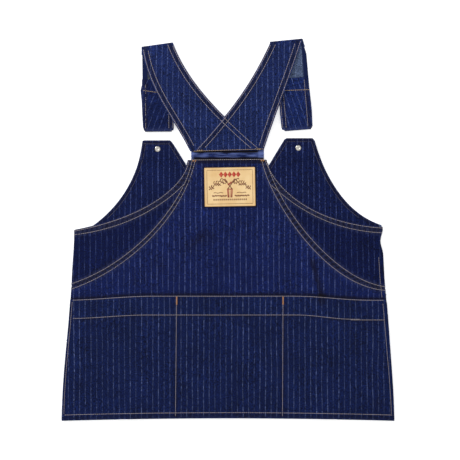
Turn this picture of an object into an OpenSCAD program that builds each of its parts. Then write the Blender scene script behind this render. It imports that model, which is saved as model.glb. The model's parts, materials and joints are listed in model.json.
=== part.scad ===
// Artist's smock apron in striped denim, laid flat with its back upwards.
// X runs across the garment, Y from hem to shoulder, and Z up from the table.

/* [Body] */
// Width across the hem, laid flat
hem_w = 532; // [500:1:560]
// Width across the underarms, laid flat
underarm_w = 496; // [480:1:510]
// Height of the underarm above the hem corners
underarm_h = 305; // [300:1:312]
// Height of the top of the shoulder tabs above the hem corners
tab_h = 449; // [446:1:454]
// Width of the top edge of each shoulder tab
tab_w = 48; // [44:1:52]
// Distance from the middle of the garment to the middle of each tab
tab_x = 115; // [112:1:118]
// How far the middle of the hem sits above its corners
hem_rise = 4; // [0:1:6]
// Half the width of the top edge of the back panel
back_top_half = 60; // [56:1:64]
// Height of the top edge of the back panel
back_top_h = 418; // [416:1:420]

/* [Pockets] */
// Height of the pocket mouth at the middle
pocket_h = 198; // [190:1:204]
// How far the pocket mouth drops towards the side seams
pocket_sag = 6; // [0:1:8]
// Depth of the folded hem at the pocket mouth
pocket_hem_w = 30; // [24:1:34]
// Distance of the left pocket division from the middle
division_left = 82; // [76:1:90]
// Distance of the right pocket division from the middle
division_right = 88; // [80:1:94]

/* [Cloth] */
// Thickness of one layer of denim
cloth_t = 1.0; // [0.8:0.05:1.0]
// Width of the hem folds and felled seams
seam_w = 9; // [7:0.5:10]
// Thickness of the raised seam ridges
ridge_t = 0.8; // [0.5:0.1:1.0]

/* [Straps] */
// Width of each strap at its end
strap_w = 49; // [46:0.5:50]
// Height of the hinge line between the back panel and the straps
yoke_h = 430; // [429:0.5:431]
// Length of the turned-up strap end, from the buckle bar to its raw edge
turn_up = 82; // [76:1:86]
// Turn of the left strap end about Z
left_tilt = 0.5; // [0:0.5:2]
// Turn of the right strap end about Z
right_tilt = 4.5; // [3:0.5:6]

/* [Hardware] */
// Wire diameter of the buckles
wire_d = 2; // [1.8:0.1:2]
// Length of each buckle from its bar to the end of its button slot
buckle_l = 42; // [38:1:42]
// Diameter of the tack button caps
cap_d = 16; // [14:0.5:17]
// Diameter of the tack heads on the inside of the tabs
tack_d = 9; // [8:0.5:10]
// Width of the leather patch
patch_w = 81; // [70:1:86]
// Height of the leather patch
patch_h = 62; // [55:1:64]
// Thickness of the leather patch
patch_t = 1.6; // [1.2:0.1:2]

/* [Hidden] */
$fn = 48;

denim = [0.12, 0.15, 0.30];
denim_light = [0.21, 0.26, 0.42];
thread = [0.70, 0.50, 0.30];
leather = [0.92, 0.78, 0.57];
nickel = [0.80, 0.79, 0.76];
steps = 14;          // straight runs along each curve
air = 0.05;          // gap between cloth layers that lie on each other
layer = cloth_t + air;
far = 400;           // beyond every edge of the garment
tall = 20;           // above and below every layer

// Heights of the underside of each layer of cloth
inner_z = layer;                 // hems and facings on the inside of the front
back_z = 2 * layer;              // the back of the garment
pocket_z = 3 * layer;            // the pocket panel
ridge_z = back_z + cloth_t + air;
tab_z = 3;                       // the tabs, held up by their button caps
tab_bend_h = 406;                // where the tabs begin to rise
tab_level_h = 426;

// Both ends of each shoulder fold, and the middle of each strap end
left_fold = [[-138, 597.5], [-88, 604.5]];
right_fold = [[68, 605.5], [119, 610.5]];
left_end = [-111.5, 464.5];
right_end = [111.5, 467];

wire_r = wire_d / 2;
bar_clear = 0.15;                // between the buckle bar and the cloth round it
bar_z = cloth_t + bar_clear + wire_r;
fold_z = 1.3;                    // height of the shoulder folds' axes
fold_gap = 0.3;                  // half the gap between the folded layers
fold_r = fold_gap + cloth_t;
hinge_z = back_z + layer - air / 2;
elastic_t = 1.6;
button_x = 112.5;
button_h = 434.5;

function fold_angle(f) = atan2(f[1][1] - f[0][1], f[1][0] - f[0][0]);
total_h = right_fold[1][1] + fold_r * cos(fold_angle(right_fold));

// ---- curves ----

function bezier(a, b, c, d, n = steps) = [
    for (i = [0 : n]) let (t = i / n, u = 1 - t)
        u * u * u * a + 3 * u * u * t * b + 3 * u * t * t * c + t * t * t * d
];
function reversed(p) = [for (i = [len(p) - 1 : -1 : 0]) p[i]];
function flipped(p) = [for (q = reversed(p)) [-q[0], q[1]]];
function shifted(p, by) = [for (q = p) q + by];
function heading(p, i) = let (d = p[min(i + 1, len(p) - 1)] - p[max(i - 1, 0)]) d / norm(d);
// Points beside a line, measured to its left
function beside(p, w) = [for (i = [0 : len(p) - 1]) let (d = heading(p, i)) p[i] + w * [-d[1], d[0]]];

// Right-hand edges, from the hem up
side_edge = bezier([hem_w / 2, 0], [hem_w / 2 - 2, 110], [underarm_w / 2, 170], [underarm_w / 2, underarm_h]);
armhole = bezier(
    [underarm_w / 2, underarm_h], [tab_x + 61, underarm_h + 26],
    [tab_x + 29, tab_h - 54], [tab_x + tab_w / 2, tab_h - 3]);
tab_top = [[tab_x + tab_w / 2 - 3, tab_h], [tab_x - tab_w / 2 + 3, tab_h]];
neckline = bezier(
    [tab_x - tab_w / 2, tab_h - 3], [tab_x - 63, tab_h - 61],
    [35, tab_h - 104], [0, tab_h - 104]);
// Edge of the back above the arm, from the side seam to the top of the panel
back_edge = bezier(
    [underarm_w / 2, underarm_h + 2], [134, underarm_h + 12],
    [back_top_half + 9.5, back_top_h - 38], [back_top_half, back_top_h]);
// Felled seam between the middle of the back and each side piece
back_seam = bezier(
    [underarm_w / 2 + 1, underarm_h - 92], [150, underarm_h - 72],
    [66.5, back_top_h - 62], [back_top_half - 5, back_top_h]);
hem_curve = [for (i = [-steps : steps]) let (x = i / steps) [x * hem_w / 2, hem_rise * (1 - x * x)]];

// ---- outlines ----

module front_2d() {
    up = concat(side_edge, armhole, tab_top, neckline);
    polygon(concat(hem_curve, up, flipped(up)));
}
module back_2d() {
    up = concat(side_edge, back_edge);
    polygon(concat(hem_curve, up, flipped(up)));
}
// Everything below the two back seams
module below_seams_2d() {
    up = concat([[far, back_seam[0][1]]], back_seam);
    polygon(concat([[-far, -far], [far, -far]], up, flipped(up)));
}
module below_h_2d(h, sag) {
    top = [for (i = [-steps : steps]) let (x = i / steps) [x * underarm_w / 2, h - sag * x * x]];
    polygon(concat([[-far, -far], [far, -far], [far, h - sag]], reversed(top), [[-far, h - sag]]));
}
module right_half_2d() { translate([0, -far]) square([far, 3 * far]); }

// ---- builders ----

module placed() { translate([0, -total_h / 2, 0]) children(); }
module flip(side) { if (side < 0) mirror([1, 0, 0]) children(); else children(); }
module slab(z, t = cloth_t) { translate([0, 0, z]) linear_extrude(t) children(); }
// Cloth with the outline of its children, bent to a line of [height up the garment, underside]
module bent(line, t = cloth_t, turn = 0, at = [0, 0]) {
    raised = [for (p = line) p + [0, t]];
    intersection() {
        translate([0, 0, -tall]) linear_extrude(2 * tall) children();
        translate([at[0], at[1], 0]) rotate([0, 0, turn]) rotate([90, 0, 90])
            translate([0, 0, -far]) linear_extrude(2 * far) polygon(concat(line, reversed(raised)));
    }
}

// ---- front ----

function front_line(z) = [[-1, z], [tab_bend_h, z], [tab_level_h, z + tab_z], [tab_h + 1, z + tab_z]];

module tack_holes() {
    for (x = [-button_x, button_x]) translate([x, button_h, -1]) cylinder(d = 2.8, h = tall);
}
module front_panel() {
    color(denim) difference() {
        bent(front_line(0)) front_2d();
        tack_holes();
    }
}
module front_facing() {
    side_x = underarm_w / 2 - 2 * seam_w;
    lower = bezier([side_x, underarm_h - 12], [130, underarm_h - 5], [110, underarm_h + 10], [60, underarm_h + 10]);
    up = concat([[side_x, 2 * far]], lower);
    color(denim) difference() {
        bent(front_line(inner_z)) intersection() {
            front_2d();
            polygon(concat(up, flipped(up)));
        }
        tack_holes();
    }
}
module front_hem() {
    color(denim) slab(inner_z) intersection() {
        front_2d();
        translate([-hem_w / 2 + 2 * seam_w, -far]) square([hem_w - 4 * seam_w, far + seam_w]);
    }
}
// Seam allowance between front and back, and the only join between them
module side_seam(side) {
    color(denim) flip(side) slab(inner_z) intersection() {
        difference() {
            intersection() { front_2d(); back_2d(); }
            translate([-seam_w + 1, 0]) back_2d();
        }
        translate([underarm_w / 2 - 2 * seam_w, 0]) square([far, underarm_h - 2 * seam_w]);
    }
}

// ---- back ----

back_line = [[-1, back_z + layer], [seam_w, back_z + layer], [2 * seam_w, back_z], [back_top_h + 1, back_z]];

module back_panel() {
    color(denim) bent(back_line) intersection() { back_2d(); below_seams_2d(); }
}
module side_back(side) {
    color(denim) flip(side) slab(back_z) difference() {
        intersection() { back_2d(); right_half_2d(); }
        below_seams_2d();
    }
}
// Ridge of the felled seam, lying half on the middle panel and half on the side piece
module back_seam_ridge(side) {
    color(denim) flip(side) slab(ridge_z, ridge_t) intersection() {
        back_2d();
        difference() {
            polygon(concat(beside(back_seam, seam_w / 2), reversed(beside(back_seam, -seam_w / 2))));
            armhole_strip_2d();
        }
    }
}
module armhole_strip_2d() { polygon(concat(back_edge, reversed(beside(back_edge, seam_w)))); }
module armhole_hem(side) {
    color(denim) flip(side) slab(ridge_z, ridge_t) intersection() {
        back_2d();
        armhole_strip_2d();
    }
}
module back_top_hem() {
    color(denim) translate([2 * seam_w - back_top_half, back_top_h - 2 * seam_w, inner_z])
        cube([2 * back_top_half - 4 * seam_w, 2 * seam_w - 1, cloth_t]);
}
module back_hem() {
    color(denim) slab(back_z) intersection() {
        back_2d();
        translate([-far, -far]) square([2 * far, far + seam_w - 1]);
    }
}
module elastic_insert() {
    low = back_top_h + 1 + elastic_t / 2;
    high = yoke_h - 3 - elastic_t / 2;
    color(denim_light) translate([-back_top_half + 1, 0, hinge_z]) rotate([0, 90, 0]) {
        for (y = [low, high]) translate([0, y, 0]) cylinder(d = elastic_t, h = 2 * back_top_half - 2);
        translate([-elastic_t / 2, low, 0]) cube([elastic_t, high - low, 2 * back_top_half - 2]);
    }
}
module leather_patch() {
    color(leather) translate([3, 374, ridge_z]) rotate([0, 0, 1])
        translate([-patch_w / 2, -patch_h / 2, 0]) cube([patch_w, patch_h, patch_t]);
}

// ---- pockets ----

pocket_bend_h = pocket_h - pocket_sag - pocket_hem_w;
pocket_line = [
    [-1, pocket_z + layer], [seam_w, pocket_z + layer], [2 * seam_w, pocket_z],
    [pocket_bend_h - 8, pocket_z], [pocket_bend_h - 1, pocket_z + layer], [pocket_h + 1, pocket_z + layer]
];
module pocket_panel() {
    color(denim) bent(pocket_line) intersection() { back_2d(); below_h_2d(pocket_h, pocket_sag); }
}
module pocket_mouth_hem() {
    color(denim) slab(pocket_z) intersection() {
        back_2d();
        below_h_2d(pocket_h, pocket_sag);
        translate([-far, pocket_bend_h]) square([2 * far, far]);
    }
}
module pocket_bar_tacks() {
    tack = [2, 12, 0.6];
    for (x = [-division_left, division_right])
        color(thread) translate([x - tack[0] / 2, pocket_h - pocket_sag / 3 - 14, pocket_z + layer + cloth_t])
            cube(tack);
}

// ---- tack buttons ----

module tab_button(side) {
    color(nickel) translate([side * button_x, button_h, 0]) difference() {
        union() {
            cylinder(d = cap_d, h = 1.6);
            cylinder(d = 7, h = tab_z - air);
        }
        translate([0, 0, 1]) cylinder(d = 2.2, h = tall);
    }
}
module tack(side) {
    head_z = inner_z + tab_z + cloth_t + air;
    color(nickel) translate([side * button_x, button_h, 0]) {
        translate([0, 0, 1.2]) cylinder(d = 2, h = head_z - 1);
        difference() {
            translate([0, 0, head_z]) cylinder(d = tack_d, h = 1);
            translate([0, 0, head_z + 0.5]) cylinder(d = 3, h = 1);
        }
    }
}

// ---- straps ----

// Back run of a strap: outer and inner edges, from the fold down to the yoke
left_outer = bezier(left_fold[0], [-127, 527], [-90, 490], [-back_top_half, yoke_h]);
left_inner = bezier(left_fold[1], [-67, 548.5], [-23, 496.5], [54, yoke_h]);
right_outer = bezier(right_fold[1], [101, 552], [74.5, 488], [58, yoke_h]);
right_inner = bezier(right_fold[0], [48, 560], [22.5, 511.5], [-54, yoke_h]);
edge_gap = 0.5;      // between the straps' lower edge and the hinge line

function strap_line(z) = [
    [yoke_h + edge_gap, z], [456, z], [469, z + 2.4], [494, z + 2.4], [518, 4.6], [548, 2.5], [580, fold_z + fold_gap],
    [620, fold_z + fold_gap]
];
module shoulder_fold(f) {
    length = norm(f[1] - f[0]);
    translate([f[0][0], f[0][1], fold_z]) rotate([0, 0, fold_angle(f)]) {
        rotate([0, 90, 0]) difference() {
            cylinder(r = fold_r, h = length);
            translate([0, 0, -1]) cylinder(r = fold_gap, h = length + 2);
            translate([-fold_r - 1, -2 * fold_r, -1]) cube([2 * fold_r + 2, 2 * fold_r, length + 2]);
        }
        translate([0, -4, fold_gap]) cube([length, 4, cloth_t]);
    }
}
module strap(outer, inner, f, z) {
    color(denim) {
        bent(strap_line(z)) difference() {
            polygon(concat(outer, reversed(inner)));
            translate(f[0]) rotate(fold_angle(f)) translate([-5, -2]) square(far);
        }
        shoulder_fold(f);
    }
}

// Strap end, drawn with its buckle bar along X at the origin, and turned into place
lift = wire_d + 0.2;             // the cloth rides over the buckle wires
under_line = [[0, 0], [5, 0], [9, lift], [buckle_l + 3, lift], [buckle_l + 9, 0], [170, 0]];
over_line = [
    [0, bar_z + wire_r + bar_clear], [buckle_l + 3, lift + cloth_t + 2 * air],
    [buckle_l + 10, cloth_t + 2 * air], [turn_up, cloth_t + 2 * air]
];
waist = strap_w - 6.4;           // narrower round the bar, so that the wires can turn under
start_gap = 1.7;                 // the moving cloth starts this far from the shoulder fold's axis

module strap_end_2d(f, c, tilt) {
    across = strap_w / 2 * [cos(tilt), sin(tilt)];
    along = [-sin(tilt), cos(tilt)];
    back_off = start_gap * [sin(fold_angle(f)), -cos(fold_angle(f))];
    polygon([c - across - along, c + across - along, f[1] + back_off, f[0] + back_off]);
}
module strap_end(f, c, tilt) {
    neck = 2 * bar_z + 7;
    color(denim) {
        difference() {
            bent(under_line, turn = tilt, at = c) strap_end_2d(f, c, tilt);
            for (s = [-1, 1]) translate([c[0], c[1], -tall]) rotate([0, 0, tilt])
                translate([s * (waist / 2 + 5) - 5, -10, 0]) cube([10, 10 + neck, 2 * tall]);
        }
        bent(over_line, turn = tilt, at = c) strap_end_2d(f, c, tilt);
        translate([c[0], c[1], bar_z]) rotate([0, 0, tilt]) rotate([0, 90, 0])
            translate([0, 0, -waist / 2]) difference() {
                cylinder(r = bar_z, h = waist);
                translate([0, 0, -1]) cylinder(r = wire_r + bar_clear, h = waist + 2);
                translate([-tall, 0, -1]) cube([2 * tall, tall, waist + 2]);
            }
    }
}

// ---- buckles ----

slot_r = 4.2;                    // bend radius of the button slot, at the middle of the wire
slot_y = buckle_l - slot_r - wire_r;
bar_half = strap_w / 2 - 1.6;
flat_z = wire_r - bar_z;
wire_side = [
    [bar_half - 5, 0, 0], [bar_half - 2, 0, 0], [bar_half - 0.5, 0.5, 0], [bar_half, 2, -0.1],
    [bar_half, 9, flat_z], [bar_half - 1, 13, flat_z], [slot_r + 1.5, slot_y - 9, flat_z],
    [slot_r, slot_y - 5, flat_z]
];
slot = [for (a = [0 : 22.5 : 180]) [slot_r * cos(a), slot_y + slot_r * sin(a), flat_z]];
wire_line = concat(wire_side, slot, [for (p = reversed(wire_side)) [-p[0], p[1], p[2]]]);

// A wire bent round into a closed loop
module closed_wire(line, r, n = 10) {
    count = len(line);
    rings = [
        for (i = [0 : count - 1])
            let (
                before = line[i] - line[(i + count - 1) % count],
                after = line[(i + 1) % count] - line[i],
                mean = before / norm(before) + after / norm(after),
                across = cross(mean, [0, 0, 1]) / norm(cross(mean, [0, 0, 1])),
                up = cross(across, mean) / norm(mean)
            )
            for (k = [0 : n - 1]) line[i] + r * (cos(360 * k / n) * across + sin(360 * k / n) * up)
    ];
    sides = [
        for (i = [0 : count - 1], k = [0 : n - 1])
            let (j = (i + 1) % count * n, l = (k + 1) % n)
            each [[i * n + k, i * n + l, j + l], [i * n + k, j + l, j + k]]
    ];
    polyhedron(rings, sides);
}
module buckle(c, tilt) {
    color(nickel) translate([c[0], c[1], bar_z]) rotate([0, 0, tilt]) closed_wire(wire_line, wire_r);
}

placed() {
    front_panel();
    front_facing();
    front_hem();
    back_panel();
    side_back(-1);  // side_back_left
    side_back(1);  // side_back_right
    back_seam_ridge(-1);  // back_seam_left
    back_seam_ridge(1);  // back_seam_right
    armhole_hem(-1);  // armhole_hem_left
    armhole_hem(1);  // armhole_hem_right
    back_top_hem();
    back_hem();
    pocket_panel();
    pocket_mouth_hem();
    pocket_bar_tacks();
    side_seam(-1);  // side_seam_left
    side_seam(1);  // side_seam_right
    elastic_insert();
    leather_patch();
    tab_button(-1);  // tab_button_left
    tab_button(1);  // tab_button_right
    tack(-1);  // tack_left
    tack(1);  // tack_right
    strap(left_outer, left_inner, left_fold, back_z);  // strap_left
    strap(right_outer, right_inner, right_fold, back_z + layer);  // strap_right
    strap_end(left_fold, left_end, left_tilt);  // strap_end_left
    strap_end(right_fold, right_end, right_tilt);  // strap_end_right
    buckle(left_end, left_tilt);  // buckle_left
    buckle(right_end, right_tilt);  // buckle_right
}
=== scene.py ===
# An artist's smock apron in striped denim, laid flat with its back upwards.
# Lengths are in millimetres, measured across the garment from its middle and up from the corners
# of its hem, until a piece is finished and goes into the frame in metres.

import json
import math

import bmesh
import bpy
from mathutils import Matrix, Vector, kdtree, noise
from mathutils.geometry import interpolate_bezier


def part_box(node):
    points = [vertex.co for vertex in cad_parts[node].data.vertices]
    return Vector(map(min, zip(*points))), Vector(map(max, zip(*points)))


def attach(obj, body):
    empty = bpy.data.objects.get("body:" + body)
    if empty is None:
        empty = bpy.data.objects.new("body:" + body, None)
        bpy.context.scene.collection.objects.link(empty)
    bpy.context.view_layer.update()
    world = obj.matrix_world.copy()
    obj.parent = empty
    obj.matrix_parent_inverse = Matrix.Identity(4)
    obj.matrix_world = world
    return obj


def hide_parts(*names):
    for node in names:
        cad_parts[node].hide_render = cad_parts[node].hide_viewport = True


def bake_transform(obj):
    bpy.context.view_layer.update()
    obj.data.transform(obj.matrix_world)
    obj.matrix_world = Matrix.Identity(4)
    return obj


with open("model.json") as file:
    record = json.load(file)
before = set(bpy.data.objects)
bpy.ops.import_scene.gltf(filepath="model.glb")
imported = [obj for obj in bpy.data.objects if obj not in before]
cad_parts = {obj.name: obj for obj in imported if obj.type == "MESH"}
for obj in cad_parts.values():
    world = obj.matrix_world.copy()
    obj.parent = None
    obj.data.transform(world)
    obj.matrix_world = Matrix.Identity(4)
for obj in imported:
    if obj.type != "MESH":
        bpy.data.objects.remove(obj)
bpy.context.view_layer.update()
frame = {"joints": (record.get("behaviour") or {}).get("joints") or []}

# ---- Table, light and camera ----
# A white laminate table top under two soft lights, one by a window to the left and one overhead.
# The camera hangs straight above the middle of the garment.

MM = 0.001
scene = bpy.context.scene
scene.view_settings.view_transform = "Standard"


def colour(code):
    """An sRGB hex value as a linear colour."""
    parts = [int(code[i:i + 2], 16) / 255 for i in (1, 3, 5)]
    return [c / 12.92 if c <= 0.04045 else ((c + 0.055) / 1.055) ** 2.4 for c in parts] + [1.0]


def add(tree, kind, links=(), **settings):
    """A node with its settings; links gives each socket a value or another node's output."""
    node = tree.nodes.new("ShaderNode" + kind)
    for name, value in settings.items():
        setattr(node, name, value)
    for socket, value in dict(links).items():
        if isinstance(value, bpy.types.NodeSocket):
            tree.links.new(value, node.inputs[socket])
        else:
            node.inputs[socket].default_value = value
    return node


def new_material(name):
    """A material, with its nodes and the shader among them."""
    material = bpy.data.materials.new(name)
    material.use_nodes = True
    return material, material.node_tree, material.node_tree.nodes["Principled BSDF"]


camera = bpy.data.objects.new("camera", bpy.data.cameras.new("camera"))
scene.collection.objects.link(camera)
camera.data.lens = 85
camera.data.sensor_width = 36
camera.location = (3.2 * MM, -0.8 * MM, 1.741)
scene.camera = camera

sky = bpy.data.worlds.new("studio")
sky.use_nodes = True
sky.node_tree.nodes["Background"].inputs["Color"].default_value = (1, 1, 1, 1)
sky.node_tree.nodes["Background"].inputs["Strength"].default_value = 0.62
scene.world = sky


def softbox(name, place, size, power):
    """A square lamp of that size in metres and power in watts, aimed at the garment."""
    lamp = bpy.data.objects.new(name, bpy.data.lights.new(name, "AREA"))
    lamp.data.size = size
    lamp.data.energy = power
    lamp.location = place
    lamp.rotation_euler = (-Vector(place)).to_track_quat("-Z", "Y").to_euler()
    scene.collection.objects.link(lamp)


softbox("window", (-1.2, 1.2, 0.95), 0.7, 21)
softbox("overhead", (0.4, -0.2, 2.2), 2.0, 8)

# Laminate table top, lit from below as well: matt white, barely glossy, with hardly any shadow.
laminate, tree, shader = new_material("white_laminate")
shader.inputs["Base Color"].default_value = colour("#FBFBFB")
shader.inputs["Roughness"].default_value = 0.9
shader.inputs["Specular IOR Level"].default_value = 0.2
shader.inputs["Emission Color"].default_value = (1, 1, 1, 1)
shader.inputs["Emission Strength"].default_value = 0.45
top = bmesh.new()
bmesh.ops.create_grid(top, x_segments=1, y_segments=1, size=3.0)
mesh = bpy.data.meshes.new("table")
top.to_mesh(mesh)
mesh.materials.append(laminate)
table = bpy.data.objects.new("table", mesh)
scene.collection.objects.link(table)
table.location.z = -0.0003

# ---- Front panel ----
# The far side of the garment, one piece of striped denim from hem to shoulder tabs. It lies face
# down on the table and carries everything else. Denim: cotton twill with an indigo warp, so its
# face is deep blue with slubs, its wrong side is pale, and it has a slight fuzz.

hem_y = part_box("front_panel")[0].y / MM
hem_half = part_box("front_panel")[1].x / MM
tab_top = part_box("front_panel")[1].y / MM - hem_y
back_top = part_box("back_panel")[1].y / MM - hem_y
underarm_half, underarm = 248, 305
cloth_thickness = 1.0


def curve(a, b, c, d, count=40):
    """Points along a curve from a to d, drawn towards b and c."""
    return [tuple(p[:2]) for p in interpolate_bezier(*(Vector((*q, 0)) for q in (a, b, c, d)), count)]


def smooth(value, low, high):
    """0 up to the low value, 1 from the high one, and a soft S in between."""
    share = min(1, max(0, (value - low) / (high - low)))
    return share * share * (3 - 2 * share)


def bell(distance, width):
    """1 where the distance is 0, and next to nothing beyond twice the width."""
    return math.exp(-(distance / width) ** 2)


def mirrored(line):
    return [(-x, y) for x, y in line]


side_edge = curve((hem_half, 0), (hem_half - 2, 110), (underarm_half, 170), (underarm_half, underarm), 120)
hem_edge = curve((0, 4), (100, 4), (200, 2), (hem_half, 0))


def side_line(side, low, high):
    """A side edge as it lies, drawn in a little below the underarm, from one height to another."""
    line = []
    for x, y in side_edge:
        if not low < y < high:
            continue
        if side == "right":
            line.append((x + (1.6 * bell(y - 170, 55) - 4.2 * bell(y - 287, 13)), y))
        else:
            line.append((2.0 * smooth(y, 235, 300) - x, y))
    return line


# As it lies, the right tab is 3.5 mm further up than the left one.
left_armhole = mirrored(curve((252, 291), (176, 327), (142.5, 391), (137, tab_top - 2)))
right_armhole = curve((246, 313), (178, 334), (146, 414), (136, 459))
armholes = {
    "left": [p for p in left_armhole if p[1] > underarm - 1],
    "right": [p for p in right_armhole if p[1] < tab_top],
}
tab_corners = {
    "left": [(-134.5, tab_top - 0.5), (-92.5, tab_top - 0.5)],
    "right": [(135, tab_top + 3), (93.5, tab_top + 3)],
}
necklines = {
    "left": mirrored(curve((89.8, tab_top - 3), (52, 388), (35, 345), (0, 345))),
    "right": curve((90.3, tab_top + 1), (51, 388), (35, 345), (0, 345)),
}
top_edges = {side: armholes[side] + tab_corners[side] + necklines[side] for side in ("left", "right")}
right_half = hem_edge + side_line("right", 0, underarm - 0.5) + top_edges["right"]
left_half = mirrored(hem_edge) + side_line("left", 0, underarm - 0.5) + top_edges["left"]
front_outline = right_half + left_half[-2:0:-1]

# Soft creases that run through every layer: both ends, width, height
creases = [
    ((-52, 303), (62, 309), 14, 0.9), ((-30, 330), (-70, 285), 14, 0.9),
    ((126, 262), (144, 198), 8, 2.2), ((150, 300), (165, 235), 12, 0.9),
    ((168, 285), (232, 218), 8, 1.5), ((196, 296), (243, 246), 7, 1.3), ((222, 292), (246, 268), 6, 1.0),
    ((182, 150), (232, 34), 15, 1.6), ((214, 170), (246, 90), 10, 1.0), ((150, 120), (168, 20), 18, 0.8),
    ((-190, 262), (-238, 232), 11, 1.0), ((-228, 180), (-244, 60), 12, 0.8), ((-130, 150), (-120, 30), 22, 0.7),
    ((-110, 270), (-130, 215), 14, 0.8), ((20, 150), (10, 40), 24, 0.6), ((70, 380), (112, 318), 9, 0.9),
]


def crease_height(x, y):
    """How far the creases raise the cloth at a point; each fades out beyond its two ends."""
    total = 0.0
    for (ax, ay), (bx, by), width, height in creases:
        along, across = Vector((bx - ax, by - ay)), Vector((x - ax, y - ay))
        share = max(-0.3, min(1.3, along.dot(across) / along.length_squared))
        gap = (across - along * share).length
        if gap < 3 * width:
            fade = 1 if 0 < share < 1 else max(0, 1 - (abs(share - 0.5) - 0.5) / 0.3) ** 2
            total += height * fade * bell(gap, width)
    return total


def lie(x, y):
    """How high the cloth lies above the table, before the layers below it are counted."""
    slow = noise.noise(Vector((x / 95, y / 120, 2.0)))
    middle = noise.noise(Vector((x / 42, y / 60, 7.0)))
    edge = min(1, max(0, (450 - y) / 60)) * min(1, max(0, y / 25))
    return edge * (0.9 + 0.8 * slow + 0.35 * middle + crease_height(x, y) * 0.9)


def cut_cloth(outline, pitch):
    """A flat piece of cloth with that outline, crossed by a fine grid so that it can bend."""
    cloth = bmesh.new()
    cloth.faces.new([cloth.verts.new((x, y, 0)) for x, y in outline])
    for axis in (Vector((1, 0, 0)), Vector((0, 1, 0))):
        reach = [v.co.dot(axis) for v in cloth.verts]
        for step in range(math.ceil(min(reach) / pitch), math.ceil(max(reach) / pitch)):
            bmesh.ops.bisect_plane(
                cloth, geom=cloth.verts[:] + cloth.edges[:] + cloth.faces[:], dist=0.01,
                plane_co=axis * step * pitch, plane_no=axis)
    bmesh.ops.remove_doubles(cloth, verts=cloth.verts, dist=0.25)
    cloth.normal_update()
    if sum(f.normal.z * f.calc_area() for f in cloth.faces) < 0:
        bmesh.ops.reverse_faces(cloth, faces=cloth.faces)
    return cloth


def flat_area(cloth):
    """The area of a piece before it is bent, in square metres."""
    return sum(f.calc_area() for f in cloth.faces) * MM * MM


def near_lines(lines):
    """A function that says how far a point is from the nearest of some lines, and how far along."""
    spots = []
    for line in lines:
        run = 0.0
        for (ax, ay), (bx, by) in zip(line, line[1:]):
            length = math.hypot(bx - ax, by - ay)
            for k in range(max(1, round(length / 2))):
                share = k / max(1, round(length / 2))
                spots.append(((ax + (bx - ax) * share, ay + (by - ay) * share, 0), run + length * share))
            run += length
    tree = kdtree.KDTree(len(spots))
    for i, (spot, _) in enumerate(spots):
        tree.insert(spot, i)
    tree.balance()

    def near(x, y):
        _, i, gap = tree.find((x, y, 0))
        return gap, spots[i][1]

    return near


def make_piece(name, bm, materials, body, replaced=()):
    """Turns a piece's mesh into an object in the frame."""
    bmesh.ops.scale(bm, vec=(MM,) * 3, verts=bm.verts)
    bmesh.ops.translate(bm, vec=(0, hem_y * MM, 0), verts=bm.verts)
    mesh = bpy.data.meshes.new(name)
    bm.to_mesh(mesh)
    bm.free()
    mesh.shade_smooth()
    for material in materials:
        mesh.materials.append(material)
    piece = bpy.data.objects.new(name, mesh)
    scene.collection.objects.link(piece)
    if body:
        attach(piece, body)
    if replaced:
        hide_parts(*replaced)
    return piece


def thicken(piece, thickness=cloth_thickness, edge=0.35, inside=1):
    """Gives a sheet its thickness, below its face, and rounds its edges."""
    wall = piece.modifiers.new("thickness", "SOLIDIFY")
    wall.thickness = thickness * MM
    wall.offset = -1
    wall.use_even_offset = False
    wall.material_offset = inside
    rounding = piece.modifiers.new("rounding", "BEVEL")
    rounding.width = edge * MM
    rounding.segments = 2
    rounding.limit_method = "ANGLE"
    rounding.angle_limit = math.radians(55)


def mark(cloth, name, value):
    """Writes a number between 0 and 1 on each point, for the cloth's material to read."""
    layer = cloth.verts.layers.float.new(name)
    for v in cloth.verts:
        v[layer] = max(0.0, min(1.0, value(v.co.x, v.co.y)))


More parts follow.
